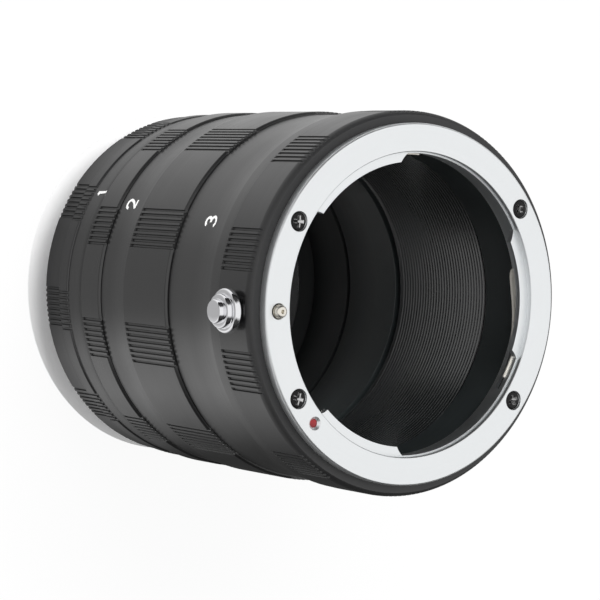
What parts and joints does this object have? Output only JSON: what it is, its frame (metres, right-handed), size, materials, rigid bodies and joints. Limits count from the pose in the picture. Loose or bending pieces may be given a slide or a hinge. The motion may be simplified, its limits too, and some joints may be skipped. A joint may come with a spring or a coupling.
{
  "type": "macro extension tube",
  "caption": "Screw-together macro extension tube: grooved black rings, numbered sections, bayonets at both ends, a sprung lock pin with a radial release knob.",
  "frame": {"origin": "on the optical axis at the free end of the camera-side bayonet, where the tube stands on its end", "axes": "+Z along the optical axis to the lens side; -X is the side of the release knob"},
  "size_m": [0.0634, 0.0598, 0.0693],
  "materials": {
    "black_anodised": "satin black anodised",
    "mount_metal": "satin plated",
    "black_screw": "black oxide",
    "spring_steel": "bright",
    "pin_steel": "turned",
    "polished_chrome": "polished",
    "white_fill": "paint fill",
    "red_fill": "enamel"
  },
  "bodies": {
    "camera_end": {"camera_mount_plate": "mount_metal", "camera_mount_screw_1": "black_screw", "camera_mount_screw_2": "black_screw", "camera_mount_screw_3": "black_screw", "camera_mount_screw_4": "black_screw", "camera_ring": "black_anodised"},
    "first_tube": {"tube_1": "black_anodised", "numeral_1": "white_fill", "lock_ring": "black_anodised"},
    "second_tube": {"tube_2": "black_anodised", "numeral_2": "white_fill"},
    "third_tube": {"tube_3": "black_anodised", "numeral_3": "white_fill"},
    "lens_end": {"lens_ring": "black_anodised", "lens_mount_plate": "mount_metal", "lens_mount_screw_1": "black_screw", "lens_mount_screw_2": "black_screw", "lens_mount_screw_3": "black_screw", "lens_mount_screw_4": "black_screw", "leaf_spring_1": "spring_steel", "leaf_spring_2": "spring_steel", "leaf_spring_3": "spring_steel", "index_dot": "red_fill", "pin_spring": "spring_steel"},
    "lens_release": {"lock_pin": "pin_steel", "knob_stem": "pin_steel", "release_knob": "polished_chrome"}
  },
  "joints": [
    {"name": "tube_1_unscrew", "type": "slide", "parent": "camera_end", "child": "first_tube", "axis": [0, 0, 1], "range_m": [0, 0.0055]},
    {"name": "tube_2_unscrew", "type": "slide", "parent": "first_tube", "child": "second_tube", "axis": [0, 0, 1], "range_m": [0, 0.0055]},
    {"name": "tube_3_unscrew", "type": "slide", "parent": "second_tube", "child": "third_tube", "axis": [0, 0, 1], "range_m": [0, 0.01115]},
    {"name": "lens_ring_unscrew", "type": "slide", "parent": "third_tube", "child": "lens_end", "axis": [0, 0, 1], "range_m": [0, 0.003]},
    {"name": "lens_release_slide", "type": "slide", "parent": "lens_end", "child": "lens_release", "axis": [0, 0, -1], "range_m": [0, 0.0013], "stiffness_N_per_m": 400, "springref_m": -0.002, "deforming": ["pin_spring"]}
  ]
}
